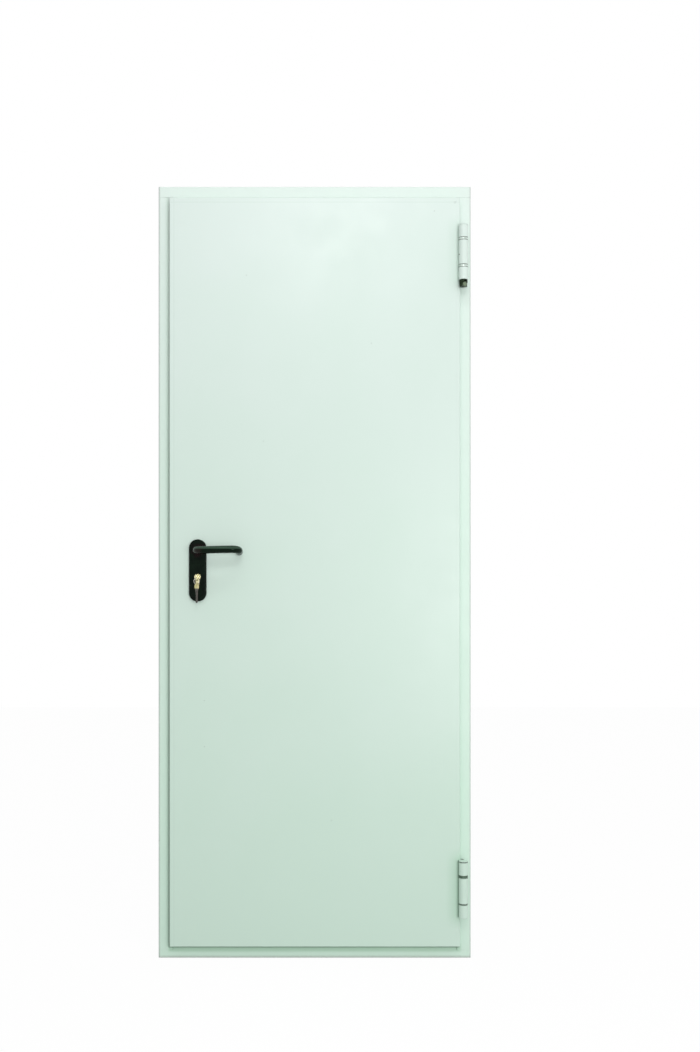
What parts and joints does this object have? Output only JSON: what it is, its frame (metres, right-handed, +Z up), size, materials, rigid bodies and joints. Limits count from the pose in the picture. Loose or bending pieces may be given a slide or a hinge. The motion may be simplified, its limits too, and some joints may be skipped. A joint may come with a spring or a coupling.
{
  "type": "hinged steel door with frame",
  "caption": "Rebated sheet steel door leaf on barrel hinges in a welded steel frame with threshold, with a lever handle on long plates, a lock cylinder and keys.",
  "frame": {"origin": "mid width of the frame on the threshold's flat underside, in the plane of the wall's face", "axes": "+X to the right seen from the side the door opens to, +Y into the wall, +Z up"},
  "size_m": [0.85, 0.197, 2.1],
  "materials": {
    "frame_paint": "satin powder coat",
    "leaf_paint": "satin powder coat",
    "hinge_paint": "satin powder coat over steel",
    "pin_steel": "turned",
    "oiled_steel": "black oiled",
    "zinc_steel": "zinc plated",
    "black_nylon": "moulded, fine texture",
    "cylinder_brass": "satin, pale",
    "key_brass": "polished by use",
    "key_nickel": "nickel plated",
    "seal_rubber": "foam",
    "swelling_strip": "matt",
    "mineral_wool": "pressed fibre slab"
  },
  "bodies": {
    "frame": {"frame_lock_jamb": "frame_paint", "frame_hinge_jamb": "frame_paint", "frame_head": "frame_paint", "frame_threshold": "frame_paint", "seal_lock_side": "seal_rubber", "seal_hinge_side": "seal_rubber", "seal_head": "seal_rubber", "seal_threshold": "seal_rubber", "strike_plate": "zinc_steel", "strike_box": "zinc_steel", "top_hinge_lower_knuckle": "hinge_paint", "top_hinge_upper_knuckle": "hinge_paint", "bottom_hinge_lower_knuckle": "hinge_paint", "bottom_hinge_upper_knuckle": "hinge_paint", "top_hinge_cap": "hinge_paint", "bottom_hinge_cap": "hinge_paint", "top_hinge_pin": "pin_steel", "bottom_hinge_pin": "pin_steel", "top_hinge_washers": "pin_steel", "bottom_hinge_bearing": "oiled_steel", "top_hinge_adjuster": "oiled_steel"},
    "leaf": {"leaf_front_skin": "leaf_paint", "leaf_back_tray": "leaf_paint", "leaf_core": "mineral_wool", "leaf_edge_strips": "swelling_strip", "lock_faceplate": "zinc_steel", "lock_case": "zinc_steel", "latch_bolt": "zinc_steel", "dead_bolt": "zinc_steel", "top_hinge_leaf_knuckle": "hinge_paint", "bottom_hinge_leaf_knuckle": "hinge_paint", "front_handle_plate": "black_nylon", "back_handle_plate": "black_nylon", "lock_cylinder": "cylinder_brass", "back_plug": "cylinder_brass"},
    "levers": {"front_lever": "black_nylon", "back_lever": "black_nylon", "lever_spindle": "zinc_steel"},
    "key": {"cylinder_plug": "cylinder_brass", "key": "key_brass"},
    "hanging_keys": {"key_ring": "pin_steel", "spare_key": "key_nickel"}
  },
  "joints": [
    {"name": "leaf_swing", "type": "hinge", "parent": "frame", "child": "leaf", "pos_m": [0.401, -0.04, 1.05], "axis": [0, 0, 1], "range_deg": [0, 175], "stiffness_Nm_per_rad": 4, "springref_deg": -57.3},
    {"name": "lever_turn", "type": "hinge", "parent": "leaf", "child": "levers", "pos_m": [-0.316, 0, 1.109], "axis": [0, 1, 0], "range_deg": [0, 40], "stiffness_Nm_per_rad": 1.5, "springref_deg": -45.84},
    {"name": "key_turn", "type": "hinge", "parent": "leaf", "child": "key", "pos_m": [-0.316, -0.04, 1.037], "axis": [0, 1, 0], "range_deg": [-90, 90]},
    {"name": "ring_swing", "type": "hinge", "parent": "key", "child": "hanging_keys", "pos_m": [-0.316, -0.061, 1.037], "axis": [1, 0, 0], "range_deg": [-60, 10]}
  ]
}
